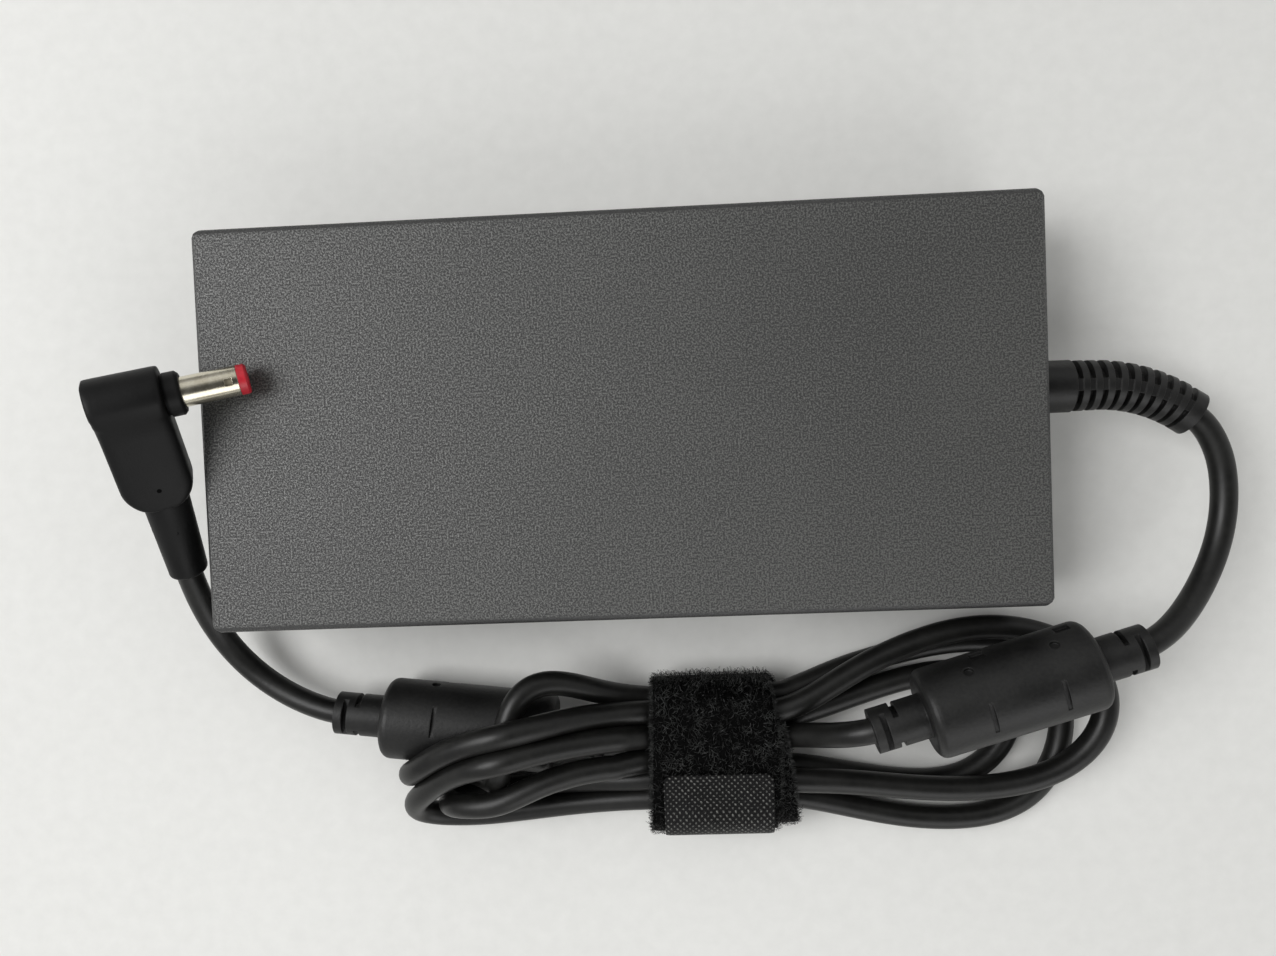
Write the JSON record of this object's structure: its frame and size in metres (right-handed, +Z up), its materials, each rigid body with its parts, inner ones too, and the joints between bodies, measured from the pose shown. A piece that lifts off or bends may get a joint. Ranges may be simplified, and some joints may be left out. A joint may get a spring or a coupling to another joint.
{
  "type": "laptop power adapter",
  "caption": "Flat black power adapter with a mains inlet; its low-voltage cord, with ferrite sleeves and a strap tie, ends in an angled barrel plug.",
  "frame": {"origin": "centre of the housing's underside", "axes": "+X along the housing to the end where the cord leaves, +Y to the long side away from the cord's hank, +Z up"},
  "size_m": [0.2109, 0.1241, 0.0424],
  "materials": {
    "housing": "fine matt grain",
    "soft_moulding": "satin soft PVC",
    "cord_jacket": "satin soft PVC",
    "inlet_plastic": "satin moulded",
    "pin_metal": "nickel plated, polished",
    "plug_metal": "nickel plated, polished",
    "tip_ring": "gloss",
    "tie_pile": "looped pile",
    "tie_hook": "woven tape",
    "spreader": "mill finish sheet",
    "sink": "mill finish sheet",
    "insulation": "thin fibre sheet",
    "board": "solder mask",
    "ferrite": "matt ceramic",
    "winding": "enamelled copper wire",
    "tape": "insulating tape",
    "lead": "insulated wire",
    "can_sleeve": "shrink sleeve",
    "film_box": "moulded box",
    "disc_coating": "dipped coating",
    "package": "moulded epoxy",
    "pad": "soft gap filler"
  },
  "bodies": {
    "root": {"top_shell": "housing", "bottom_shell": "housing", "upper_heat_spreader": "spreader", "lower_heat_spreader": "spreader", "insulation_sheet": "insulation", "circuit_board": "board", "inlet_body": "inlet_plastic", "line_pin": "pin_metal", "neutral_pin": "pin_metal", "earth_pin": "pin_metal", "inlet_leads": "lead", "fuse": "package", "surge_suppressor": "disc_coating", "filter_capacitor": "film_box", "choke_core": "ferrite", "choke_windings": "winding", "bridge_rectifier": "package", "inductor_core": "ferrite", "inductor_winding": "winding", "bulk_capacitor": "can_sleeve", "primary_heat_sink": "sink", "power_transistors": "package", "transformer_core": "ferrite", "transformer_winding": "tape", "thermal_pad": "pad", "secondary_heat_sink": "sink", "output_rectifiers": "package", "output_capacitors": "can_sleeve", "output_choke": "winding", "safety_capacitors": "disc_coating", "optocouplers": "package", "control_board": "board", "output_leads": "lead", "strain_relief": "soft_moulding", "cord_lead_out": "cord_jacket", "near_ferrite": "ferrite", "near_sleeve": "soft_moulding", "cord_lead_in": "cord_jacket", "cord_hank": "cord_jacket", "tie_strap": "tie_pile", "tie_tab": "tie_hook", "far_ferrite": "ferrite", "far_sleeve": "soft_moulding", "cord_plug_lead": "cord_jacket", "plug_relief": "soft_moulding", "plug_body": "soft_moulding", "plug_collar": "soft_moulding", "plug_barrel": "plug_metal", "plug_insulator": "tip_ring", "plug_contact": "plug_metal"}
  },
  "joints": []
}
